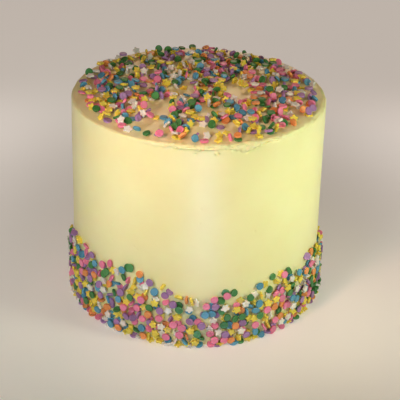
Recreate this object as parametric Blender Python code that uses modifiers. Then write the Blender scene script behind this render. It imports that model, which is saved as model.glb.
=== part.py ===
"""A tall round birthday cake: smooth buttercream, with confetti sprinkles on its top and round its foot.

Blender 4.5, metres, +Z up. The origin is the middle of the flat underside, and -Y is the front.
The cake is one solid. Its sprinkles are fused to it: those that a hand would feel first, spread as
they lie on the real cake.
"""
import math
import random

import bmesh
import bpy
from mathutils import Matrix, Vector, noise

# Driving dimensions of the cake
CAKE_HEIGHT = 0.1367
TOP_RADIUS = 0.0800
FOOT_RADIUS = 0.0838
TOP_SHIFT = 0.0007
TOP_TILT = -0.011
RIM_ROUNDING = 0.0020
RIM_BORDER = 0.0060
FOOT_CHAMFER = 0.0008
TURN_STEPS = 90
ARC_STEPS = 3
SIDE_RINGS = 3
MERGE_DISTANCE = 0.00002
SHORTEST_EDGE = 0.000002

# Unevenness of the icing
SIDE_SWELL = 0.0004
RIM_RAGGED = 0.0009
RIM_LIFT = 0.0005
RAGGED_ANGLE = -82.0
RAGGED_WIDTH = 26.0
RAGGED_GRAIN = 150.0

# Sprinkles: round discs and five-pointed stars
DISC_RADIUS = 0.00250
DISC_THICKNESS = 0.00145
DISC_SIDES = 6
STAR_RADIUS = 0.00285
STAR_WAIST = 0.00178
STAR_THICKNESS = 0.00150
STAR_POINTS = 5
STAR_SHARE = 0.38
SINK = 0.00045
EDGE_SINK = 0.30
STANDING_LEAN = (50.0, 90.0)
LYING_LEAN = 40.0

# Where the sprinkles lie: how many of each region are fused, and the share that stands on edge
REGIONS = {
    "foot": {"seed": 31, "fused": 36, "standing": 0.0},
    "band": {"seed": 23, "fused": 140, "standing": 0.12},
    "top": {"seed": 11, "fused": 98, "standing": 0.30},
}
FUSED_SPACING = 0.0070
MOST_TRIES = 60000
TOP_SPREAD = 0.0745
TOP_GRAIN = 60.0
TOP_GRAIN_STRENGTH = 0.9
TOP_FILLED = 0.50
BAND_FADE = 0.0050
BAND_STRAY = 0.0050
STRAY_SHARE = 0.07
FOOT_REACH = (0.0008, 0.0016)
FOOT_RAISED = 24.0
GROUND_GAP = 0.00015

# Fuller and barer patches of the top, judged by eye: angle in degrees, distance from the middle,
# reach, and how much fuller
TOP_PATCHES = (
    (-175.0, 0.050, 0.017, 0.40),
    (-145.0, 0.055, 0.011, 0.40),
    (-100.0, 0.048, 0.011, 0.45),
    (-45.0, 0.045, 0.014, 0.50),
    (-10.0, 0.062, 0.015, 0.40),
    (50.0, 0.050, 0.016, 0.35),
    (75.0, 0.050, 0.013, 0.30),
    (125.0, 0.055, 0.015, 0.35),
    (-130.0, 0.040, 0.009, -0.60),
    (-125.0, 0.062, 0.009, -0.50),
    (110.0, 0.025, 0.012, -0.40),
    (0.0, 0.020, 0.009, -0.40),
    (-75.0, 0.068, 0.012, -0.35),
    (-30.0, 0.070, 0.008, -0.40),
)

# Heights of the band's upper border round the cake, judged by eye at the front and guessed at the
# back: angle in degrees and height
BORDER_HEIGHTS = (
    (-155.0, 0.045),
    (-120.0, 0.047),
    (-90.0, 0.031),
    (-70.0, 0.034),
    (-45.0, 0.038),
    (-15.0, 0.037),
    (20.0, 0.025),
    (60.0, 0.045),
    (95.0, 0.035),
    (125.0, 0.045),
    (165.0, 0.023),
)

# The bare patch in the band at the front
PATCH_ANGLE = -88.0
PATCH_WIDTH = 5.5
PATCH_HEIGHT = 0.0260
PATCH_REACH = 0.0090
PATCH_BARE = 0.9

ICING_COLOUR = (0.86, 0.78, 0.42, 1.0)
ICING_ROUGHNESS = 0.45
SPRINKLE_ROUGHNESS = 0.50
SPRINKLE_COLOURS = {
    "pink": (0.86, 0.20, 0.38, 1.0),
    "purple": (0.33, 0.15, 0.42, 1.0),
    "blue": (0.10, 0.37, 0.60, 1.0),
    "green": (0.03, 0.22, 0.05, 1.0),
    "orange": (0.83, 0.30, 0.09, 1.0),
    "yellow": (0.87, 0.70, 0.06, 1.0),
    "white": (0.84, 0.79, 0.72, 1.0),
}
DISC_COLOURS = ("pink",) * 4 + ("purple",) * 3 + ("blue",) * 3 + ("green",) * 4 + ("orange",) * 2
STAR_COLOURS = ("yellow",) * 3 + ("white",) * 2


def bell(angle, centre, width):
    """One at the centre angle and near nothing two widths away from it, in degrees."""
    away = (angle - centre + 180.0) % 360.0 - 180.0
    return math.exp(-(away / width) ** 2)


def clear_scene():
    for thing in list(bpy.data.objects):
        bpy.data.objects.remove(thing, do_unlink=True)


def make_material(name, colour, roughness):
    material = bpy.data.materials.new(name)
    material.use_nodes = True
    shader = material.node_tree.nodes["Principled BSDF"]
    shader.inputs["Base Color"].default_value = colour
    shader.inputs["Roughness"].default_value = roughness
    shader.inputs["Metallic"].default_value = 0.0
    return material


def cake_profile():
    """The outline of half the cake, from the middle of its top down to the middle of its underside."""
    outline = [(0.0, CAKE_HEIGHT), (TOP_RADIUS - RIM_BORDER, CAKE_HEIGHT)]
    for step in range(ARC_STEPS + 1):
        turn = math.radians(90.0 * (1.0 - step / ARC_STEPS))
        outline.append((
            TOP_RADIUS - RIM_ROUNDING + RIM_ROUNDING * math.cos(turn),
            CAKE_HEIGHT - RIM_ROUNDING + RIM_ROUNDING * math.sin(turn),
        ))
    rim_foot = CAKE_HEIGHT - RIM_ROUNDING
    for ring in range(1, SIDE_RINGS + 1):
        down = ring / SIDE_RINGS
        outline.append((
            TOP_RADIUS + (FOOT_RADIUS - TOP_RADIUS) * down,
            rim_foot + (FOOT_CHAMFER - rim_foot) * down,
        ))
    outline.append((FOOT_RADIUS - FOOT_CHAMFER, 0.0))
    outline.append((0.0, 0.0))
    return outline


def rim_scale(angle):
    """How round the rim is: crisp at the left, softer at the right."""
    return 1.0 + 0.6 * bell(angle, -35.0, 32.0) - 0.4 * bell(angle, -130.0, 32.0)


def side_swell(angle, height):
    """How far the side stands out or in, growing from nothing at the foot."""
    turn = math.radians(angle)
    wave = math.sin(2.0 * turn + 0.8) + 0.6 * math.sin(3.0 * turn + 2.1)
    return SIDE_SWELL * wave * height / CAKE_HEIGHT


def uneven(point):
    """A point of the turned cake, moved to where the spread icing has it."""
    radius = math.hypot(point.x, point.y)
    height = point.z
    angle = math.degrees(math.atan2(point.y, point.x))
    across = radius - TOP_RADIUS
    down = height - CAKE_HEIGHT
    on_rim = across > -1.01 * RIM_ROUNDING and down > -1.01 * RIM_ROUNDING
    if on_rim:
        across *= rim_scale(angle)
        down *= rim_scale(angle)
        grain = noise.noise(Vector((point.x, point.y, 0.0)) * RAGGED_GRAIN)
        ragged = bell(angle, RAGGED_ANGLE, RAGGED_WIDTH)
        across += RIM_RAGGED * (0.35 + ragged) * grain
        down += RIM_LIFT * ragged * (0.6 + grain)
    if radius > 0.5 * TOP_RADIUS and height > 0.0:
        across += side_swell(angle, height)
    radius = TOP_RADIUS + across
    height = CAKE_HEIGHT + down
    up = height / CAKE_HEIGHT
    turn = math.radians(angle)
    x = radius * math.cos(turn)
    return Vector((x + TOP_SHIFT * up, radius * math.sin(turn), height + TOP_TILT * x * up))


def turn_icing(collection, material):
    """The iced cake, turned from its profile and then made as uneven as a spatula leaves it."""
    outline = cake_profile()
    mesh = bpy.data.meshes.new("cake_profile")
    mesh.from_pydata(
        [(radius, 0.0, height) for radius, height in outline],
        [(index, index + 1) for index in range(len(outline) - 1)],
        [],
    )
    turned = bpy.data.objects.new("cake_profile", mesh)
    collection.objects.link(turned)
    screw = turned.modifiers.new("turn", "SCREW")
    screw.axis = "Z"
    screw.steps = TURN_STEPS
    screw.render_steps = TURN_STEPS
    screw.use_merge_vertices = True
    screw.merge_threshold = MERGE_DISTANCE
    graph = bpy.context.evaluated_depsgraph_get()
    icing_mesh = bpy.data.meshes.new_from_object(turned.evaluated_get(graph))
    bpy.data.objects.remove(turned, do_unlink=True)

    shape = bmesh.new()
    shape.from_mesh(icing_mesh)
    poles = [vertex for vertex in shape.verts if math.hypot(vertex.co.x, vertex.co.y) < MERGE_DISTANCE]
    bmesh.ops.dissolve_verts(shape, verts=poles)
    for vertex in shape.verts:
        vertex.co = uneven(vertex.co)
    # The moved quads aren't flat any more, and the union needs flat faces
    bmesh.ops.triangulate(shape, faces=[face for face in shape.faces if len(face.verts) == 4])
    bmesh.ops.recalc_face_normals(shape, faces=shape.faces)
    shape.to_mesh(icing_mesh)
    shape.free()

    icing_mesh.name = "cake"
    icing_mesh.materials.clear()
    icing_mesh.materials.append(material)
    cake = bpy.data.objects.new("cake", icing_mesh)
    collection.objects.link(cake)
    return cake


def sprinkle_mesh(name, corners, thickness, material):
    """A flat tablet: an outline of corners, closed above and below."""
    shape = bmesh.new()
    lower = [shape.verts.new((x, y, -thickness / 2.0)) for x, y in corners]
    face = shape.faces.new(lower)
    raised = bmesh.ops.extrude_face_region(shape, geom=[face])
    upper = [item for item in raised["geom"] if isinstance(item, bmesh.types.BMVert)]
    bmesh.ops.translate(shape, verts=upper, vec=(0.0, 0.0, thickness))
    bmesh.ops.recalc_face_normals(shape, faces=shape.faces)
    mesh = bpy.data.meshes.new(name)
    shape.to_mesh(mesh)
    shape.free()
    mesh.materials.append(material)
    return mesh


def disc_corners():
    turns = [math.tau * side / DISC_SIDES for side in range(DISC_SIDES)]
    return [(DISC_RADIUS * math.cos(turn), DISC_RADIUS * math.sin(turn)) for turn in turns]


def star_corners():
    corners = []
    for corner in range(2 * STAR_POINTS):
        reach = STAR_WAIST if corner % 2 else STAR_RADIUS
        turn = math.pi * corner / STAR_POINTS
        corners.append((reach * math.cos(turn), reach * math.sin(turn)))
    return corners


def border_height(angle):
    """Height of the sprinkle band's wavy upper border, eased from each height to the next."""
    for (start, low), (end, high) in zip(BORDER_HEIGHTS, BORDER_HEIGHTS[1:] + BORDER_HEIGHTS[:1]):
        share = (angle - start) % 360.0 / ((end - start) % 360.0)
        if share < 1.0:
            break
    eased = share * share * (3.0 - 2.0 * share)
    return low + (high - low) * eased


def surface_frame(spot, across, outward):
    """A frame on the surface: X across, Z outward."""
    outward = outward.normalized()
    across = (across - outward * across.dot(outward)).normalized()
    turn = Matrix((across, outward.cross(across), outward)).transposed().to_4x4()
    return Matrix.Translation(spot) @ turn


def draw_on_top(dice):
    """A random place on the top, or None where the icing is bare."""
    reach = TOP_SPREAD * math.sqrt(dice.random())
    turn = math.tau * dice.random()
    x, y = reach * math.cos(turn), reach * math.sin(turn)
    filled = TOP_FILLED + TOP_GRAIN_STRENGTH * noise.noise(Vector((x, y, 0.0)) * TOP_GRAIN)
    for patch_angle, patch_out, patch_reach, fuller in TOP_PATCHES:
        patch_x = patch_out * math.cos(math.radians(patch_angle))
        patch_y = patch_out * math.sin(math.radians(patch_angle))
        away = math.hypot(x - patch_x, y - patch_y) / patch_reach
        filled += fuller * math.exp(-away * away)
    if dice.random() > filled:
        return None
    x += TOP_SHIFT
    return surface_frame(Vector((x, y, CAKE_HEIGHT + TOP_TILT * x)), Vector((1.0, 0.0, 0.0)),
                         Vector((-TOP_TILT, 0.0, 1.0)))


def draw_in_band(dice):
    """A random place on the side, in the band or just above it, or None where the icing is bare."""
    angle = 360.0 * dice.random() - 180.0
    lowest = STAR_RADIUS + SINK
    border = border_height(angle)
    height = lowest + (border + BAND_STRAY - lowest) * dice.random()
    filled = min(1.0, max(STRAY_SHARE, (border - height) / BAND_FADE))
    away = ((height - PATCH_HEIGHT) / PATCH_REACH) ** 2
    filled *= 1.0 - PATCH_BARE * bell(angle, PATCH_ANGLE, PATCH_WIDTH) * math.exp(-away)
    if dice.random() > filled:
        return None
    up = height / CAKE_HEIGHT
    turn = math.radians(angle)
    radius = FOOT_RADIUS + (TOP_RADIUS - FOOT_RADIUS) * up + side_swell(angle, height)
    spot = Vector((radius * math.cos(turn) + TOP_SHIFT * up, radius * math.sin(turn), height))
    slope = (FOOT_RADIUS - TOP_RADIUS) / CAKE_HEIGHT
    return surface_frame(spot, Vector((-math.sin(turn), math.cos(turn), 0.0)),
                         Vector((math.cos(turn), math.sin(turn), slope)))


def draw_at_foot(dice):
    """A random place on the ground against the foot, whose frame has Y pointing to the cake."""
    angle = 360.0 * dice.random() - 180.0
    radius = FOOT_RADIUS + dice.uniform(*FOOT_REACH)
    turn = math.radians(angle)
    return surface_frame(Vector((radius * math.cos(turn), radius * math.sin(turn), 0.0)),
                         Vector((-math.sin(turn), math.cos(turn), 0.0)), Vector((0.0, 0.0, 1.0)))


def scatter(draw_place, count, dice, taken):
    """Random places, each at least one spacing from all those before it, which are added to taken."""
    places = []
    for _ in range(MOST_TRIES):
        place = draw_place(dice)
        if place is None:
            continue
        spot = place.translation
        if any((spot - other).length < FUSED_SPACING for other in taken):
            continue
        taken.append(spot)
        places.append(place)
        if len(places) == count:
            break
    return places


def draw_kind(standing, dice):
    """Whether a piece is a star, its colour, and whether it stands on its edge."""
    star = dice.random() < STAR_SHARE
    colour = dice.choice(STAR_COLOURS if star else DISC_COLOURS)
    return star, colour, dice.random() < standing


def draw_turn(region, upright, dice):
    """A piece's lean, and how it is turned on the surface."""
    if region == "foot":
        lean = math.radians(FOOT_RAISED * dice.random())
        side = 0.0
    else:
        lean = math.radians(dice.uniform(*STANDING_LEAN) if upright else LYING_LEAN * dice.random() ** 1.5)
        side = math.tau * dice.random()
    spin = math.tau * dice.random()
    return lean, Matrix.Rotation(side, 4, "Z") @ Matrix.Rotation(lean, 4, "X") @ Matrix.Rotation(spin, 4, "Z")


def fused_lift(region, star, lean):
    """Height of a piece's middle over the surface: it rests on the ground, or is pressed in."""
    reach = STAR_RADIUS if star else DISC_RADIUS
    thickness = STAR_THICKNESS if star else DISC_THICKNESS
    stand = reach * math.sin(lean) + 0.5 * thickness * math.cos(lean)
    if region == "foot":
        return stand + GROUND_GAP
    return stand - SINK - EDGE_SINK * reach * math.sin(lean)


def lay_sprinkles(collection, materials):
    """Every fused sprinkle, as an object of its own in the collection."""
    discs = {name: sprinkle_mesh("disc_" + name, disc_corners(), DISC_THICKNESS, materials[name])
             for name in dict.fromkeys(DISC_COLOURS)}
    stars = {name: sprinkle_mesh("star_" + name, star_corners(), STAR_THICKNESS, materials[name])
             for name in dict.fromkeys(STAR_COLOURS)}
    draw_place = {"foot": draw_at_foot, "band": draw_in_band, "top": draw_on_top}
    taken = []
    for region, rule in REGIONS.items():
        dice = random.Random(rule["seed"])
        for index, place in enumerate(scatter(draw_place[region], rule["fused"], dice, taken)):
            star, colour, upright = draw_kind(rule["standing"], dice)
            lean, turn = draw_turn(region, upright, dice)
            lift = fused_lift(region, star, lean)
            mesh = stars[colour] if star else discs[colour]
            piece = bpy.data.objects.new(f"{region}_sprinkle_{index}", mesh)
            piece.matrix_world = place @ Matrix.Translation((0.0, 0.0, lift)) @ turn
            collection.objects.link(piece)


def fuse(cake, sprinkles):
    """One Boolean union of the cake and the collection, applied, with the pieces then removed."""
    bpy.context.view_layer.update()
    union = cake.modifiers.new("fuse", "BOOLEAN")
    union.operation = "UNION"
    union.operand_type = "COLLECTION"
    union.collection = sprinkles
    union.solver = "EXACT"
    union.use_self = False
    union.material_mode = "TRANSFER"
    graph = bpy.context.evaluated_depsgraph_get()
    fused = bpy.data.meshes.new_from_object(cake.evaluated_get(graph))
    cake.modifiers.remove(union)
    cake.data = fused
    fused.name = "cake"
    for piece in list(sprinkles.objects):
        bpy.data.objects.remove(piece, do_unlink=True)
    bpy.data.collections.remove(sprinkles)


def finish_surface(cake):
    """Removes edges too short to matter, triangulates, and shades the icing smooth."""
    shape = bmesh.new()
    shape.from_mesh(cake.data)
    bmesh.ops.dissolve_degenerate(shape, dist=SHORTEST_EDGE, edges=shape.edges)
    bmesh.ops.triangulate(shape, faces=shape.faces)
    shape.to_mesh(cake.data)
    shape.free()
    cake.data.shade_smooth()
    cake.data.set_sharp_from_angle(angle=math.radians(35.0))


def build_cake():
    clear_scene()
    parts = bpy.data.collections.new("birthday_cake")
    sprinkles = bpy.data.collections.new("sprinkles")
    for collection in (parts, sprinkles):
        bpy.context.scene.collection.children.link(collection)
    icing = make_material("buttercream", ICING_COLOUR, ICING_ROUGHNESS)
    colours = {name: make_material("sprinkle_" + name, colour, SPRINKLE_ROUGHNESS)
               for name, colour in SPRINKLE_COLOURS.items()}
    cake = turn_icing(parts, icing)
    lay_sprinkles(sprinkles, colours)
    fuse(cake, sprinkles)
    finish_surface(cake)


build_cake()
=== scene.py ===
"""Looks of a tall round birthday cake: buttercream icing and confetti sprinkles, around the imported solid."""
import math
import random

import bmesh
import bpy
import numpy as np
from mathutils import Matrix, Vector, noise


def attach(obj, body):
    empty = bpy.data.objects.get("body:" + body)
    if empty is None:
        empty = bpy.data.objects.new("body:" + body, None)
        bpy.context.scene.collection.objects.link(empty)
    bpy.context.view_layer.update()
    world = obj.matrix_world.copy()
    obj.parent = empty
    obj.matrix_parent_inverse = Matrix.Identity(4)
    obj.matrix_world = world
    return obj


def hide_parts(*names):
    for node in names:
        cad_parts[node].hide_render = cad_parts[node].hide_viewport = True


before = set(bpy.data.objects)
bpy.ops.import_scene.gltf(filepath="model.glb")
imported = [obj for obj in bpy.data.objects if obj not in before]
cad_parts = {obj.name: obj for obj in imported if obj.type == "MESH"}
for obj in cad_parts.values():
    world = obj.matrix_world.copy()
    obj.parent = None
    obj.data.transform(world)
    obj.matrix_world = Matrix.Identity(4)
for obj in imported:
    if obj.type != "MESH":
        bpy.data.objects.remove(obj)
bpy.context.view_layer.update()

# Camera, fitted to the photograph's outlines: 400 pixels across a 36 mm sensor
PHOTO_PIXELS = 400
SENSOR_WIDTH = 36.0
FOCAL_PIXELS = 941.8
CAMERA_PLACE = Vector((0.0, -0.5553, 0.3669))
CAMERA_YAW = 0.005
CAMERA_PITCH = 0.508
CAMERA_ROLL = 0.020

# The cake's own sizes, the same as the solid's
CAKE_HEIGHT = 0.1367
TOP_RADIUS = 0.0800
FOOT_RADIUS = 0.0838
TOP_SHIFT = 0.0007
TOP_TILT = -0.011
RIM_ROUNDING = 0.0020
FOOT_CHAMFER = 0.0008
SIDE_SWELL = 0.0004

# Sprinkles: the solid's sizes, and the rule that lays its fused ones
DISC_RADIUS = 0.00250
DISC_THICKNESS = 0.00145
STAR_RADIUS = 0.00285
STAR_WAIST = 0.00178
STAR_THICKNESS = 0.00150
STAR_POINTS = 5
STAR_SHARE = 0.38
DISC_COLOURS = ("pink",) * 4 + ("purple",) * 3 + ("blue",) * 3 + ("green",) * 4 + ("orange",) * 2
STAR_COLOURS = ("yellow",) * 3 + ("white",) * 2
SINK = 0.00045
EDGE_SINK = 0.30
STANDING_LEAN = (50.0, 90.0)
LYING_LEAN = 40.0
FUSED_SPACING = 0.0070
MOST_TRIES = 60000
TOP_SPREAD = 0.0745
TOP_GRAIN = 60.0
TOP_GRAIN_STRENGTH = 0.9
TOP_FILLED = 0.50
TOP_PATCHES = (
    (-175.0, 0.050, 0.017, 0.40),
    (-145.0, 0.055, 0.011, 0.40),
    (-100.0, 0.048, 0.011, 0.45),
    (-45.0, 0.045, 0.014, 0.50),
    (-10.0, 0.062, 0.015, 0.40),
    (50.0, 0.050, 0.016, 0.35),
    (75.0, 0.050, 0.013, 0.30),
    (125.0, 0.055, 0.015, 0.35),
    (-130.0, 0.040, 0.009, -0.60),
    (-125.0, 0.062, 0.009, -0.50),
    (110.0, 0.025, 0.012, -0.40),
    (0.0, 0.020, 0.009, -0.40),
    (-75.0, 0.068, 0.012, -0.35),
    (-30.0, 0.070, 0.008, -0.40),
)
BAND_FADE = 0.0050
BAND_STRAY = 0.0050
STRAY_SHARE = 0.07
BORDER_HEIGHTS = (
    (-155.0, 0.045),
    (-120.0, 0.047),
    (-90.0, 0.031),
    (-70.0, 0.034),
    (-45.0, 0.038),
    (-15.0, 0.037),
    (20.0, 0.025),
    (60.0, 0.045),
    (95.0, 0.035),
    (125.0, 0.045),
    (165.0, 0.023),
)
PATCH_ANGLE = -88.0
PATCH_WIDTH = 5.5
PATCH_HEIGHT = 0.0260
PATCH_REACH = 0.0090
PATCH_BARE = 0.9
FOOT_REACH = (0.0008, 0.0016)
FOOT_RAISED = 24.0
GROUND_GAP = 0.00015
REGIONS = {
    "foot": {"seed": 31, "fused": 36, "standing": 0.0},
    "band": {"seed": 23, "fused": 140, "standing": 0.12},
    "top": {"seed": 11, "fused": 98, "standing": 0.30},
}

# The rest of the sprinkles, which fill in between and lie on those: how many, how many stand,
# how often one is laid where others lie, and how far one may stand out lying and standing
FILL_SEED_STEP = 100
FILLING = {
    "foot": {"count": 110, "standing": 0.0, "covered": 0.50, "highest": (0.0036, 0.0036)},
    "band": {"count": 1150, "standing": 0.30, "covered": 0.60, "highest": (0.0044, 0.0052)},
    "top": {"count": 540, "standing": 0.50, "covered": 0.60, "highest": (0.0050, 0.0062)},
}
FILL_TRIES = 24000
FILL_CHOICES = 2
FILL_LEAN = 60.0
CELL = 0.0004
SOFT_CONTACT = 0.00045
CONFORM = 0.70
CONFORM_REACH = 0.0018


def bell(angle, centre, width):
    """One at the centre angle and near nothing two widths away from it, in degrees."""
    away = (angle - centre + 180.0) % 360.0 - 180.0
    return math.exp(-(away / width) ** 2)


def smooth(low, high, value):
    """Nothing up to low, one from high on, and a smooth step between them."""
    share = min(1.0, max(0.0, (value - low) / (high - low)))
    return share * share * (3.0 - 2.0 * share)


def camera_axes():
    """The camera's right, up and forward directions."""
    forward = Vector((
        math.sin(CAMERA_YAW) * math.cos(CAMERA_PITCH),
        math.cos(CAMERA_YAW) * math.cos(CAMERA_PITCH),
        -math.sin(CAMERA_PITCH),
    ))
    level = Vector((math.cos(CAMERA_YAW), -math.sin(CAMERA_YAW), 0.0))
    upright = level.cross(forward)
    right = math.cos(CAMERA_ROLL) * level + math.sin(CAMERA_ROLL) * upright
    up = -math.sin(CAMERA_ROLL) * level + math.cos(CAMERA_ROLL) * upright
    return right, up, forward


def make_camera():
    right, up, forward = camera_axes()
    lens = bpy.data.cameras.new("camera")
    lens.sensor_width = SENSOR_WIDTH
    lens.lens = FOCAL_PIXELS * SENSOR_WIDTH / PHOTO_PIXELS
    lens.clip_start = 0.01
    camera = bpy.data.objects.new("camera", lens)
    turn = Matrix((right, up, -forward)).transposed().to_4x4()
    camera.matrix_world = Matrix.Translation(CAMERA_PLACE) @ turn
    bpy.context.scene.collection.objects.link(camera)
    bpy.context.scene.camera = camera


def make_light(name, place, aim, size, watts, colour, spread=180.0):
    """A soft square light that points at a spot, and spreads over an angle in degrees."""
    lamp = bpy.data.lights.new(name, "AREA")
    lamp.shape = "RECTANGLE"
    lamp.size = size[0]
    lamp.size_y = size[1]
    lamp.energy = watts
    lamp.color = colour
    lamp.spread = math.radians(spread)
    light = bpy.data.objects.new(name, lamp)
    light.location = place
    light.rotation_euler = (Vector(aim) - Vector(place)).to_track_quat("-Z", "Y").to_euler()
    light.visible_camera = False
    bpy.context.scene.collection.objects.link(light)
    return light


def round_place(angle, away, height):
    turn = math.radians(angle)
    return away * math.cos(turn), away * math.sin(turn), height


def make_studio():
    """A pale floor, a dim warm sky, two soft lights low at the front, two for the top, three for the
    floor round the cake, and the sheen on its front."""
    world = bpy.data.worlds.new("studio")
    world.use_nodes = True
    world.node_tree.nodes["Background"].inputs["Color"].default_value = (1.0, 0.66, 0.46, 1.0)
    world.node_tree.nodes["Background"].inputs["Strength"].default_value = 0.11
    bpy.context.scene.world = world

    bpy.ops.mesh.primitive_plane_add(size=6.0, location=(0.0, 0.0, 0.0))
    floor = bpy.context.object
    floor.name = "floor"
    floor.data.materials.append(floor_material())

    left_aim = (-0.038, -0.046, 0.09)
    right_aim = (0.052, -0.044, 0.09)
    make_light("front_left", round_place(-114.0, 0.31, 0.20), left_aim, (0.09, 0.12), 0.071, (0.83, 1.0, 0.98), 70.0)
    make_light("front_right", round_place(-32.0, 0.31, 0.18), right_aim, (0.09, 0.12), 0.097, (0.92, 1.0, 0.76), 70.0)
    make_light("above", (-0.16, -0.26, 0.36), (-0.02, -0.08, 0.137), (0.06, 0.06), 0.041, (1.0, 0.50, 0.36), 44.0)
    make_light("behind", (0.02, 0.42, 0.30), (0.0, 0.08, 0.137), (0.20, 0.08), 0.021, (1.0, 0.74, 0.52), 34.0)

    # The floor's own lights, whose narrow spread keeps them off the cake
    pale = (1.0, 0.96, 0.90)
    make_light("backdrop", (0.0, 0.62, 0.24), (0.0, 0.62, 0.0), (2.0, 0.9), 1.5, pale, 80.0)
    make_light("floor_left", (-0.35, 0.03, 0.24), (-0.35, 0.03, 0.0), (0.40, 0.50), 0.20, pale, 50.0)
    make_light("floor_right", (0.35, 0.03, 0.24), (0.35, 0.03, 0.0), (0.40, 0.50), 0.20, pale, 50.0)

    # The window's soft bluish sheen on the icing's front
    sheen = make_light("sheen", round_place(-84.0, 0.40, 0.025), (0.0, 0.0, 0.06), (0.02, 0.05), 0.07,
                       (0.35, 0.50, 1.0), 40.0)
    sheen.visible_diffuse = False


def node_maker(material):
    tree = material.node_tree

    def node(kind, **settings):
        made = tree.nodes.new(kind)
        for key, value in settings.items():
            if key in made.inputs:
                made.inputs[key].default_value = value
            else:
                setattr(made, key, value)
        return made

    return node, tree.links.new


def new_material(name):
    material = bpy.data.materials.new(name)
    material.use_nodes = True
    return material, material.node_tree.nodes["Principled BSDF"]


def floor_material():
    """Pale paint that glows faintly, so that the floor is even from all sides and fills in the shade."""
    material, shader = new_material("floor_paint")
    shader.inputs["Base Color"].default_value = (0.82, 0.78, 0.77, 1.0)
    shader.inputs["Roughness"].default_value = 0.75
    shader.inputs["Emission Color"].default_value = (1.0, 0.94, 0.84, 1.0)
    shader.inputs["Emission Strength"].default_value = 0.21
    return material


def buttercream_material():
    """Satin buttercream: faint cloudy colour, fine pores, scraper lines and small pits."""
    material, shader = new_material("buttercream")
    node, link = node_maker(material)
    place = node("ShaderNodeTexCoord").outputs["Object"]

    clouds = node("ShaderNodeTexNoise", Scale=26.0, Detail=4.0, Roughness=0.55)
    link(place, clouds.inputs["Vector"])
    tint = node("ShaderNodeValToRGB")
    tint.color_ramp.elements[0].position = 0.32
    tint.color_ramp.elements[0].color = (0.84, 0.80, 0.41, 1.0)
    tint.color_ramp.elements[1].position = 0.70
    tint.color_ramp.elements[1].color = (0.88, 0.86, 0.48, 1.0)
    link(clouds.outputs["Fac"], tint.inputs["Fac"])
    link(tint.outputs["Color"], shader.inputs["Base Color"])

    gloss = node("ShaderNodeMapRange")
    gloss.inputs["To Min"].default_value = 0.36
    gloss.inputs["To Max"].default_value = 0.52
    link(clouds.outputs["Fac"], gloss.inputs["Value"])
    link(gloss.outputs["Result"], shader.inputs["Roughness"])

    stretch = node("ShaderNodeMapping")
    stretch.inputs["Scale"].default_value = (1.0, 1.0, 9.0)
    link(place, stretch.inputs["Vector"])
    lines = node("ShaderNodeTexNoise", Scale=60.0, Detail=3.0, Roughness=0.6)
    link(stretch.outputs["Vector"], lines.inputs["Vector"])
    pores = node("ShaderNodeTexNoise", Scale=900.0, Detail=3.0, Roughness=0.6)
    link(place, pores.inputs["Vector"])
    cells = node("ShaderNodeTexVoronoi", Scale=85.0)
    link(place, cells.inputs["Vector"])
    pit = node("ShaderNodeMapRange")
    pit.inputs["From Min"].default_value = 0.05
    pit.inputs["From Max"].default_value = 0.11
    link(cells.outputs["Distance"], pit.inputs["Value"])

    line_bump = node("ShaderNodeBump", Strength=0.25, Distance=0.0004)
    link(lines.outputs["Fac"], line_bump.inputs["Height"])
    pore_bump = node("ShaderNodeBump", Strength=0.22, Distance=0.0002)
    link(pores.outputs["Fac"], pore_bump.inputs["Height"])
    link(line_bump.outputs["Normal"], pore_bump.inputs["Normal"])
    pit_bump = node("ShaderNodeBump", Strength=0.35, Distance=0.0004)
    link(pit.outputs["Result"], pit_bump.inputs["Height"])
    link(pore_bump.outputs["Normal"], pit_bump.inputs["Normal"])
    link(pit_bump.outputs["Normal"], shader.inputs["Normal"])

    shader.inputs["Subsurface Weight"].default_value = 0.30
    shader.inputs["Subsurface Radius"].default_value = (1.0, 0.65, 0.30)
    shader.inputs["Subsurface Scale"].default_value = 0.0022
    shader.inputs["Specular IOR Level"].default_value = 0.45
    return material


SPRINKLE_TINTS = {
    "pink": (0.84, 0.22, 0.38),
    "purple": (0.38, 0.20, 0.45),
    "blue": (0.09, 0.34, 0.52),
    "green": (0.045, 0.23, 0.05),
    "orange": (0.85, 0.31, 0.08),
    "yellow": (0.88, 0.70, 0.07),
    "white": (0.82, 0.79, 0.72),
}


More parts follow.
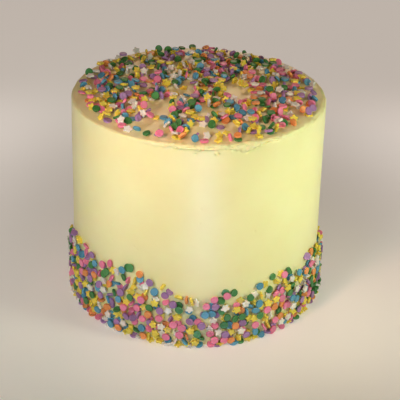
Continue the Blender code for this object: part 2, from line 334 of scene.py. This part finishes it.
def sprinkle_material(name):
    """Dry sugar paste: each piece a little lighter or darker, with chalky grain."""
    material, shader = new_material("sprinkle_" + name)
    node, link = node_maker(material)
    place = node("ShaderNodeTexCoord").outputs["Object"]
    tint = SPRINKLE_TINTS[name]
    deep = tuple(0.80 * part for part in tint) + (1.0,)
    pale = tuple(min(1.0, 1.12 * part + 0.03) for part in tint) + (1.0,)

    shade = node("ShaderNodeAttribute", attribute_name="shade")
    mottle = node("ShaderNodeTexNoise", Scale=1100.0, Detail=4.0, Roughness=0.65)
    link(place, mottle.inputs["Vector"])
    blend = node("ShaderNodeMath", operation="MULTIPLY_ADD")
    link(mottle.outputs["Fac"], blend.inputs[0])
    blend.inputs[1].default_value = 0.45
    link(shade.outputs["Fac"], blend.inputs[2])
    ramp = node("ShaderNodeValToRGB")
    ramp.color_ramp.elements[0].position = 0.15
    ramp.color_ramp.elements[0].color = deep
    ramp.color_ramp.elements[1].position = 1.05
    ramp.color_ramp.elements[1].color = pale
    link(blend.outputs["Value"], ramp.inputs["Fac"])
    link(ramp.outputs["Color"], shader.inputs["Base Color"])

    rough = node("ShaderNodeMapRange")
    rough.inputs["To Min"].default_value = 0.38
    rough.inputs["To Max"].default_value = 0.62
    link(mottle.outputs["Fac"], rough.inputs["Value"])
    link(rough.outputs["Result"], shader.inputs["Roughness"])
    bump = node("ShaderNodeBump", Strength=0.35, Distance=0.0002)
    link(mottle.outputs["Fac"], bump.inputs["Height"])
    link(bump.outputs["Normal"], shader.inputs["Normal"])
    shader.inputs["Subsurface Weight"].default_value = 0.12
    shader.inputs["Subsurface Scale"].default_value = 0.0006
    shader.inputs["Specular IOR Level"].default_value = 0.40
    return material


def side_swell(angle, height):
    turn = math.radians(angle)
    wave = math.sin(2.0 * turn + 0.8) + 0.6 * math.sin(3.0 * turn + 2.1)
    return SIDE_SWELL * wave * height / CAKE_HEIGHT


# The fine icing surface: columns round the cake, closer together at the front, and rows down it
FRONT_COLUMNS = 560
BACK_COLUMNS = 140
TOP_ROWS = 22
RIM_ROWS = 42
SIDE_ROWS = 58
BAND_ROWS = 10
UNDER_ROWS = 3
BAND_ZONE = 0.0400
RIM_ZONE = 0.0070
POLE_RADIUS = 0.0004

# The lip of icing that was pushed over the front edge: from and to which angle, and how proud
LIP_ANGLES = (-116.0, -58.0)
LIP_PROUD = 0.0009
LIP_REACH = 0.0019
LIP_STEP = 0.0007

# The slanting groove at the lip's right end: angle and distance below the edge at both its ends
GROOVE_ENDS = ((-69.5, 0.0052), (-58.0, -0.0002))
GROOVE_WIDTH = 0.00055
GROOVE_DEPTH = 0.0011

# Notches, lumps and pits near the front edge: angle, distance below it, half width, half height, depth
RIM_MARKS = (
    (-84.6, 0.0010, 0.0021, 0.0006, -0.0014),
    (-82.6, 0.0046, 0.0008, 0.0008, 0.0009),
    (-81.5, 0.0047, 0.0005, 0.0007, -0.0010),
    (-91.0, 0.0047, 0.0008, 0.0005, -0.0007),
    (-101.0, 0.0016, 0.0014, 0.0004, -0.0006),
    (-75.5, 0.0030, 0.0012, 0.0005, -0.0007),
    (-58.5, 0.0006, 0.0007, 0.0006, 0.0010),
    (-56.3, 0.0002, 0.0006, 0.0005, 0.0008),
    (-54.6, 0.0008, 0.0007, 0.0005, -0.0009),
    (-52.8, 0.0001, 0.0007, 0.0006, 0.0009),
    (-49.5, 0.0003, 0.0010, 0.0005, 0.0005),
)


def column_angles():
    front = [-180.0 + 180.0 * column / FRONT_COLUMNS for column in range(FRONT_COLUMNS)]
    back = [180.0 * column / BACK_COLUMNS for column in range(BACK_COLUMNS)]
    return front + back


def rim_radius(angle):
    """How round the rim is: crisp at the left, softer at the right."""
    scale = 1.0 + 0.6 * bell(angle, -35.0, 32.0) - 0.4 * bell(angle, -130.0, 32.0)
    return RIM_ROUNDING * scale


def outline_point(angle, along):
    """Radius, height and outward direction of the smooth cake, at a distance along its outline.

    The distance counts from the middle of the rim's rounding: less than nothing is on the top."""
    rounding = rim_radius(angle)
    quarter = 0.5 * math.pi * rounding
    side_slope = (FOOT_RADIUS - TOP_RADIUS) / CAKE_HEIGHT
    if along < -0.5 * quarter:
        inward = -0.5 * quarter - along
        return TOP_RADIUS - rounding - inward, CAKE_HEIGHT, 0.0, 1.0
    if along < 0.5 * quarter:
        turn = (0.5 * quarter - along) / quarter * 0.5 * math.pi
        return (TOP_RADIUS - rounding + rounding * math.cos(turn),
                CAKE_HEIGHT - rounding + rounding * math.sin(turn),
                math.cos(turn), math.sin(turn))
    down = along - 0.5 * quarter
    height = max(0.0, CAKE_HEIGHT - rounding - down)
    spread = side_slope * (CAKE_HEIGHT - height)
    return TOP_RADIUS + spread, height, 1.0, side_slope


def rim_relief(angle, along):
    """How far the icing stands out of the smooth outline near the rim, from the spatula's last strokes."""
    turn = math.radians(angle)
    x, y = math.cos(turn), math.sin(turn)
    grain = noise.noise(Vector((x * 9.0, y * 9.0, along * 260.0)))
    fine = noise.noise(Vector((x * 34.0, y * 34.0, along * 700.0 + 5.0)))
    near_rim = math.exp(-((along - 0.0006) / 0.0026) ** 2)
    relief = 0.00035 * grain * near_rim + 0.00016 * fine * near_rim

    # The lip of icing that the spatula pushed over the front edge, with a torn lower border
    reach = LIP_REACH + 0.0015 * noise.noise(Vector((x * 16.0, y * 16.0, 3.0)))
    reach += 0.0008 * noise.noise(Vector((x * 60.0, y * 60.0, 8.0))) + 0.0026 * bell(angle, -70.0, 5.5)
    first, last = LIP_ANGLES
    on_lip = smooth(first, first + 22.0, angle) * (1.0 - smooth(last - 5.0, last, angle))
    on_lip *= smooth(-0.0030, 0.0, along) * (1.0 - smooth(reach - LIP_STEP, reach + LIP_STEP, along))
    relief += LIP_PROUD * (1.0 + 0.9 * grain + 0.9 * fine) * on_lip

    # The slanting groove, measured across its length
    (start_angle, start_along), (end_angle, end_along) = GROOVE_ENDS
    length = math.hypot(math.radians(end_angle - start_angle) * TOP_RADIUS, end_along - start_along)
    way_across = math.radians(end_angle - start_angle) * TOP_RADIUS / length
    way_along = (end_along - start_along) / length
    across = math.radians(angle - start_angle) * TOP_RADIUS
    below = along - start_along
    share = (across * way_across + below * way_along) / length
    offset = across * way_along - below * way_across
    in_reach = smooth(-0.10, 0.10, share) * (1.0 - smooth(0.90, 1.10, share))
    relief -= GROOVE_DEPTH * in_reach * math.exp(-(offset / GROOVE_WIDTH) ** 2)

    for mark_angle, mark_along, half_width, half_height, depth in RIM_MARKS:
        across = math.radians((angle - mark_angle + 180.0) % 360.0 - 180.0) * TOP_RADIUS / half_width
        below = (along - mark_along) / half_height
        if abs(across) < 3.0 and abs(below) < 3.0:
            relief += depth * math.exp(-across * across - below * below)

    # The thin raised line along the left edge
    left = bell(angle, -140.0, 26.0)
    relief += 0.00028 * left * math.exp(-((along + 0.0002) / 0.0006) ** 2)

    # The soft torn bevel at the right
    right = bell(angle, -36.0, 18.0)
    relief += right * near_rim * (0.00030 * fine + 0.00022 * grain)
    return relief


def top_relief(x, y):
    """Low waves that the spatula leaves on the top."""
    swirl = math.sin(math.hypot(x + 0.05, y - 0.09) * 420.0 + 2.0 * noise.noise(Vector((x, y, 0.0)) * 30.0))
    broad = noise.noise(Vector((x * 28.0, y * 28.0, 7.0)))
    return 0.00016 * swirl * (0.5 + broad) + 0.00030 * broad


def icing_point(angle, along):
    radius, height, out, up = outline_point(angle, along)
    turn = math.radians(angle)
    relief = 0.0
    if abs(along) < 2.0 * RIM_ZONE:
        relief += rim_relief(angle, along)
    if along < 0.0:
        flat = smooth(0.0, 0.006, TOP_RADIUS - radius)
        relief += flat * top_relief(radius * math.cos(turn), radius * math.sin(turn))
    else:
        broad = noise.noise(Vector((math.cos(turn) * 2.2, math.sin(turn) * 2.2, height * 22.0)))
        relief += 0.00022 * broad * smooth(0.0, 0.02, height) + side_swell(angle, height)
    radius += relief * out
    height += relief * up * (1.0 if along < RIM_ZONE else 0.0)
    share = height / CAKE_HEIGHT
    x = radius * math.cos(turn)
    return x + TOP_SHIFT * share, radius * math.sin(turn), height + TOP_TILT * x * share


def icing_rows():
    """Distances along the outline, close together at the rim and far apart behind the band."""
    inner = -(TOP_RADIUS - POLE_RADIUS)
    border = CAKE_HEIGHT - BAND_ZONE
    outer = CAKE_HEIGHT - FOOT_CHAMFER - 0.0004
    rows = [inner + (-RIM_ZONE - inner) * row / TOP_ROWS for row in range(TOP_ROWS)]
    rows += [-RIM_ZONE + 2.0 * RIM_ZONE * row / RIM_ROWS for row in range(RIM_ROWS)]
    rows += [RIM_ZONE + (border - RIM_ZONE) * row / SIDE_ROWS for row in range(SIDE_ROWS)]
    rows += [border + (outer - border) * row / BAND_ROWS for row in range(BAND_ROWS + 1)]
    return rows


def make_icing():
    """The whole iced cake as one closed mesh."""
    angles = column_angles()
    count = len(angles)
    points = [icing_point(angle, along) for along in icing_rows() for angle in angles]
    for row in range(UNDER_ROWS):
        radius = (FOOT_RADIUS - FOOT_CHAMFER) * (1.0 - row / UNDER_ROWS)
        points += [(radius * math.cos(math.radians(a)), radius * math.sin(math.radians(a)), 0.0) for a in angles]
    rows = len(points) // count
    faces = []
    for row in range(rows - 1):
        for column in range(count):
            after = (column + 1) % count
            faces.append((row * count + column, (row + 1) * count + column,
                          (row + 1) * count + after, row * count + after))
    faces.append(tuple(range(count)))
    faces.append(tuple(reversed(range((rows - 1) * count, rows * count))))
    mesh = bpy.data.meshes.new("icing")
    mesh.from_pydata(points, [], faces)
    shape = bmesh.new()
    shape.from_mesh(mesh)
    bmesh.ops.recalc_face_normals(shape, faces=shape.faces)
    shape.to_mesh(mesh)
    shape.free()
    mesh.materials.append(buttercream_material())
    mesh.shade_smooth()
    mesh.set_sharp_from_angle(angle=math.radians(60.0))
    icing = bpy.data.objects.new("icing", mesh)
    bpy.context.scene.collection.objects.link(icing)
    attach(icing, "root")
    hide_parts("cake")
    return icing


def border_height(angle):
    """Height of the sprinkle band's wavy upper border, eased from each height to the next."""
    for (start, low), (end, high) in zip(BORDER_HEIGHTS, BORDER_HEIGHTS[1:] + BORDER_HEIGHTS[:1]):
        share = (angle - start) % 360.0 / ((end - start) % 360.0)
        if share < 1.0:
            break
    eased = share * share * (3.0 - 2.0 * share)
    return low + (high - low) * eased


def surface_frame(spot, across, outward):
    """A frame on the surface: X across, Z outward."""
    outward = outward.normalized()
    across = (across - outward * across.dot(outward)).normalized()
    turn = Matrix((across, outward.cross(across), outward)).transposed().to_4x4()
    return Matrix.Translation(spot) @ turn


def top_frame(x, y):
    """The frame on the top at a place that is counted from the middle of the foot."""
    x += TOP_SHIFT
    return surface_frame(Vector((x, y, CAKE_HEIGHT + TOP_TILT * x)), Vector((1.0, 0.0, 0.0)),
                         Vector((-TOP_TILT, 0.0, 1.0)))


def side_frame(angle, height):
    """The frame on the side, with X running round the cake."""
    up = height / CAKE_HEIGHT
    turn = math.radians(angle)
    radius = FOOT_RADIUS + (TOP_RADIUS - FOOT_RADIUS) * up + side_swell(angle, height)
    spot = Vector((radius * math.cos(turn) + TOP_SHIFT * up, radius * math.sin(turn), height))
    slope = (FOOT_RADIUS - TOP_RADIUS) / CAKE_HEIGHT
    return surface_frame(spot, Vector((-math.sin(turn), math.cos(turn), 0.0)),
                         Vector((math.cos(turn), math.sin(turn), slope)))


def foot_frame(angle, reach):
    """The frame on the ground, a little out from the foot, with Y pointing to the cake."""
    turn = math.radians(angle)
    radius = FOOT_RADIUS + reach
    return surface_frame(Vector((radius * math.cos(turn), radius * math.sin(turn), 0.0)),
                         Vector((-math.sin(turn), math.cos(turn), 0.0)), Vector((0.0, 0.0, 1.0)))


def draw_on_top(dice):
    """A random place on the top as a frame and its flat coordinates, or None where the icing is bare."""
    reach = TOP_SPREAD * math.sqrt(dice.random())
    turn = math.tau * dice.random()
    x, y = reach * math.cos(turn), reach * math.sin(turn)
    filled = TOP_FILLED + TOP_GRAIN_STRENGTH * noise.noise(Vector((x, y, 0.0)) * TOP_GRAIN)
    for patch_angle, patch_out, patch_reach, fuller in TOP_PATCHES:
        patch_x = patch_out * math.cos(math.radians(patch_angle))
        patch_y = patch_out * math.sin(math.radians(patch_angle))
        away = math.hypot(x - patch_x, y - patch_y) / patch_reach
        filled += fuller * math.exp(-away * away)
    if dice.random() > filled:
        return None
    return top_frame(x, y), x, y


def draw_in_band(dice):
    """A random place on the side, in the band or just above it, or None where the icing is bare."""
    angle = 360.0 * dice.random() - 180.0
    lowest = STAR_RADIUS + SINK
    border = border_height(angle)
    height = lowest + (border + BAND_STRAY - lowest) * dice.random()
    filled = min(1.0, max(STRAY_SHARE, (border - height) / BAND_FADE))
    away = ((height - PATCH_HEIGHT) / PATCH_REACH) ** 2
    filled *= 1.0 - PATCH_BARE * bell(angle, PATCH_ANGLE, PATCH_WIDTH) * math.exp(-away)
    if dice.random() > filled:
        return None
    return side_frame(angle, height), math.radians(angle) * FOOT_RADIUS, height


def draw_at_foot(dice):
    """A random place on the ground against the foot."""
    angle = 360.0 * dice.random() - 180.0
    reach = dice.uniform(*FOOT_REACH)
    return foot_frame(angle, reach), math.radians(angle) * FOOT_RADIUS, -reach


DRAW_PLACE = {"foot": draw_at_foot, "band": draw_in_band, "top": draw_on_top}


def scatter(draw_place, count, dice, taken):
    """Random places, each at least one spacing from all those before it, which are added to taken."""
    places = []
    for _ in range(MOST_TRIES):
        place = draw_place(dice)
        if place is None:
            continue
        spot = place[0].translation
        if any((spot - other).length < FUSED_SPACING for other in taken):
            continue
        taken.append(spot)
        places.append(place)
        if len(places) == count:
            break
    return places


def draw_kind(standing, dice):
    """Whether a piece is a star, its colour, and whether it stands on its edge."""
    star = dice.random() < STAR_SHARE
    colour = dice.choice(STAR_COLOURS if star else DISC_COLOURS)
    return star, colour, dice.random() < standing


def draw_turn(region, upright, dice, lying_lean=LYING_LEAN):
    """A piece's lean, and how it is turned on the surface."""
    if region == "foot":
        lean = math.radians(FOOT_RAISED * dice.random())
        side = 0.0
    else:
        lean = math.radians(dice.uniform(*STANDING_LEAN) if upright else lying_lean * dice.random() ** 1.5)
        side = math.tau * dice.random()
    spin = math.tau * dice.random()
    return lean, Matrix.Rotation(side, 4, "Z") @ Matrix.Rotation(lean, 4, "X") @ Matrix.Rotation(spin, 4, "Z")


def fused_lift(region, star, lean):
    """Height of a fused piece's middle over the surface: it rests on the ground, or is pressed in."""
    reach = STAR_RADIUS if star else DISC_RADIUS
    thickness = STAR_THICKNESS if star else DISC_THICKNESS
    stand = reach * math.sin(lean) + 0.5 * thickness * math.cos(lean)
    if region == "foot":
        return stand + GROUND_GAP
    return stand - SINK - EDGE_SINK * reach * math.sin(lean)


def star_reach(turn):
    """How far a star reaches from its middle in a direction, as a share of its points' reach."""
    away = abs((turn / math.tau * STAR_POINTS + 0.5) % 1.0 - 0.5) * 2.0
    waist = STAR_WAIST / STAR_RADIUS
    return 1.0 + (waist - 1.0) * away ** 0.8


def sample_points(star):
    """Points all over a piece, close together, for laying it on others."""
    reach = STAR_RADIUS if star else DISC_RADIUS
    thickness = STAR_THICKNESS if star else DISC_THICKNESS
    points = []
    for step in range(30):
        turn = math.tau * step / 30
        rim = reach * (star_reach(turn) if star else 1.0)
        for share in (0.15, 0.35, 0.55, 0.78, 1.0):
            for level in (-0.5, 0.5):
                points.append((share * rim * math.cos(turn), share * rim * math.sin(turn), level * thickness))
    return np.array(points)


class Heap:
    """How high the pieces laid so far stand over each small cell of a surface."""

    def __init__(self, low, high, wraps):
        self.low = np.array(low)
        self.shape = np.ceil((np.array(high) - self.low) / CELL).astype(int)
        self.wraps = wraps
        self.heights = np.zeros(self.shape)

    def cells(self, across, along):
        first = np.floor((across - self.low[0]) / CELL).astype(int)
        second = np.floor((along - self.low[1]) / CELL).astype(int)
        if self.wraps:
            first %= self.shape[0]
        return np.clip(first, 0, self.shape[0] - 1), np.clip(second, 0, self.shape[1] - 1)

    def covered(self, across, along):
        first, second = self.cells(np.array([across]), np.array([along]))
        return self.heights[first, second][0] > 0.0

    def slope(self, across, along):
        """The slope of what lies there, from the mean heights on four sides."""
        steps = np.linspace(0.3, 1.0, 4) * CONFORM_REACH
        means = []
        for side_x, side_y in ((1, 0), (-1, 0), (0, 1), (0, -1)):
            spread = steps * 0.5
            points_x = np.concatenate([across + side_x * steps + side_y * spread,
                                       across + side_x * steps - side_y * spread])
            points_y = np.concatenate([along + side_y * steps + side_x * spread,
                                       along + side_y * steps - side_x * spread])
            first, second = self.cells(points_x, points_y)
            means.append(self.heights[first, second].mean())
        width = 1.3 * CONFORM_REACH
        return (means[0] - means[1]) / width, (means[2] - means[3]) / width

    def rest(self, across, along, points, sink):
        """How far out the piece must be moved to lie on what is there, sinking only into bare icing."""
        first, second = self.cells(across + points[:, 0], along + points[:, 1])
        under = self.heights[first, second]
        under = np.where(under > 0.0, under - SOFT_CONTACT, -sink)
        return float((under - points[:, 2]).max())

    def add(self, across, along, points, lift):
        first, second = self.cells(across + points[:, 0], along + points[:, 1])
        np.maximum.at(self.heights, (first, second), points[:, 2] + lift)


def make_heaps():
    round_foot = math.pi * FOOT_RADIUS
    return {
        "foot": Heap((-round_foot, -0.012), (round_foot, 0.006), True),
        "band": Heap((-round_foot, 0.0), (round_foot, 0.070), True),
        "top": Heap((-TOP_RADIUS, -TOP_RADIUS), (TOP_RADIUS, TOP_RADIUS), False),
    }


def turned(points, turn):
    return points @ np.array(turn)[:3, :3].T


def settle(region, heap, across, along, star, upright, samples, dice):
    """Of a few ways to lie at a place, the one that stands out least over what is there."""
    slope_x, slope_y = heap.slope(across, along)
    settled = Vector((-CONFORM * slope_x, -CONFORM * slope_y, 1.0)).normalized()
    conform = Vector((0.0, 0.0, 1.0)).rotation_difference(settled).to_matrix().to_4x4()
    reach = STAR_RADIUS if star else DISC_RADIUS
    best = None
    for choice in range(FILL_CHOICES):
        lean, turn = draw_turn(region, upright, dice, FILL_LEAN)
        if choice % 2:
            turn = conform @ turn
        points = turned(samples[star], turn)
        sink = -GROUND_GAP if region == "foot" else SINK + EDGE_SINK * reach * math.sin(lean)
        lift = heap.rest(across, along, points, sink)
        top = lift + points[:, 2].max()
        if best is None or top < best[0]:
            best = (top, lift, turn, points)
    return best


def lay_filling(region, rule, heap, samples, dice):
    """The pieces that fill in between the fused ones and lie on them."""
    laid = []
    for _ in range(FILL_TRIES):
        if len(laid) == rule["count"]:
            break
        place = DRAW_PLACE[region](dice)
        if place is None:
            continue
        frame_there, across, along = place
        if heap.covered(across, along) and dice.random() > rule["covered"]:
            continue
        star, colour, upright = draw_kind(rule["standing"], dice)
        top, lift, turn, points = settle(region, heap, across, along, star, upright, samples, dice)
        if top > rule["highest"][upright]:
            continue
        matrix = frame_there @ Matrix.Translation((0.0, 0.0, lift)) @ turn
        if (samples[star] @ np.array(matrix)[2, :3]).min() + matrix.translation.z < GROUND_GAP:
            continue
        heap.add(across, along, points, lift)
        laid.append((star, colour, matrix))
    return laid


def all_sprinkles():
    """Every piece: the ones fused to the solid first, then those that fill in and pile up."""
    samples = {star: sample_points(star) for star in (False, True)}
    heaps = make_heaps()
    laid = []
    taken = []
    for region, rule in REGIONS.items():
        dice = random.Random(rule["seed"])
        for frame_there, across, along in scatter(DRAW_PLACE[region], rule["fused"], dice, taken):
            star, colour, upright = draw_kind(rule["standing"], dice)
            lean, turn = draw_turn(region, upright, dice)
            lift = fused_lift(region, star, lean)
            heaps[region].add(across, along, turned(samples[star], turn), lift)
            laid.append((star, colour, frame_there @ Matrix.Translation((0.0, 0.0, lift)) @ turn))
    for region, rule in FILLING.items():
        dice = random.Random(REGIONS[region]["seed"] + FILL_SEED_STEP)
        laid += lay_filling(region, rule, heaps[region], samples, dice)
    return laid


def disc_outline(sides=18):
    return [(math.cos(math.tau * side / sides), math.sin(math.tau * side / sides)) for side in range(sides)]


def star_outline():
    """A plump five-pointed star with rounded tips, one across its points from the middle."""
    waist = STAR_WAIST / STAR_RADIUS
    corners = []
    for point in range(STAR_POINTS):
        turn = math.tau * point / STAR_POINTS
        for offset, reach in ((-0.5, waist), (-0.15, 0.88), (-0.06, 0.97), (0.06, 0.97), (0.15, 0.88)):
            at = turn + offset * math.tau / STAR_POINTS
            corners.append((reach * math.cos(at), reach * math.sin(at)))
    return corners


def tablet(outline, reach, thickness):
    """Points and faces of a flat piece with rounded edges and slightly hollow faces."""
    rings = (
        (0.00, 0.38), (0.62, 0.41), (0.83, 0.49), (0.95, 0.42), (1.00, 0.20),
        (1.00, -0.20), (0.95, -0.42), (0.83, -0.49), (0.62, -0.41), (0.00, -0.38),
    )
    points = []
    starts = []
    for scale, level in rings:
        starts.append(len(points))
        if scale == 0.0:
            points.append((0.0, 0.0, level * thickness))
        else:
            points += [(reach * scale * x, reach * scale * y, level * thickness) for x, y in outline]
    count = len(outline)
    faces = []
    for ring in range(len(rings) - 1):
        for side in range(count):
            after = (side + 1) % count
            if rings[ring][0] == 0.0:
                faces.append((starts[ring], starts[ring + 1] + side, starts[ring + 1] + after))
            elif rings[ring + 1][0] == 0.0:
                faces.append((starts[ring] + side, starts[ring + 1], starts[ring] + after))
            else:
                faces.append((starts[ring] + side, starts[ring + 1] + side,
                              starts[ring + 1] + after, starts[ring] + after))
    return np.array(points), faces


def make_sprinkles():
    """One joined mesh for each colour and kind."""
    shapes = {
        False: tablet(disc_outline(), DISC_RADIUS, DISC_THICKNESS),
        True: tablet(star_outline(), STAR_RADIUS, STAR_THICKNESS),
    }
    groups = {}
    for star, colour, matrix in all_sprinkles():
        groups.setdefault((star, colour), []).append(matrix)
    chance = np.random.default_rng(5)
    for (star, colour), matrices in sorted(groups.items()):
        base, base_faces = shapes[star]
        points, faces, shades = [], [], []
        for matrix in matrices:
            size = chance.uniform(0.90, 1.07, 3) * np.array([1.0, 1.0, chance.uniform(0.85, 1.15)])
            wobble = 1.0 + 0.02 * np.sin(base[:, :1] * 1500.0 + chance.uniform(0.0, 6.0))
            local = base * size * np.hstack([wobble, wobble, np.ones_like(wobble)])
            turn = np.array(matrix)
            world = local @ turn[:3, :3].T + turn[:3, 3]
            start = len(points) * len(base)
            points.append(world)
            faces += [tuple(start + corner for corner in face) for face in base_faces]
            shades.append(np.full(len(base), chance.uniform(0.0, 0.6)))
        name = ("star_" if star else "disc_") + colour
        mesh = bpy.data.meshes.new(name)
        mesh.from_pydata(np.concatenate(points).tolist(), [], faces)
        shade = mesh.attributes.new("shade", "FLOAT", "POINT")
        shade.data.foreach_set("value", np.concatenate(shades))
        mesh.materials.append(sprinkle_material(colour))
        mesh.shade_smooth()
        mesh.set_sharp_from_angle(angle=math.radians(50.0))
        piece = bpy.data.objects.new("sprinkles_" + name, mesh)
        bpy.context.scene.collection.objects.link(piece)
        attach(piece, "root")


bpy.context.scene.view_settings.view_transform = "Standard"
make_camera()
make_studio()
make_icing()
make_sprinkles()
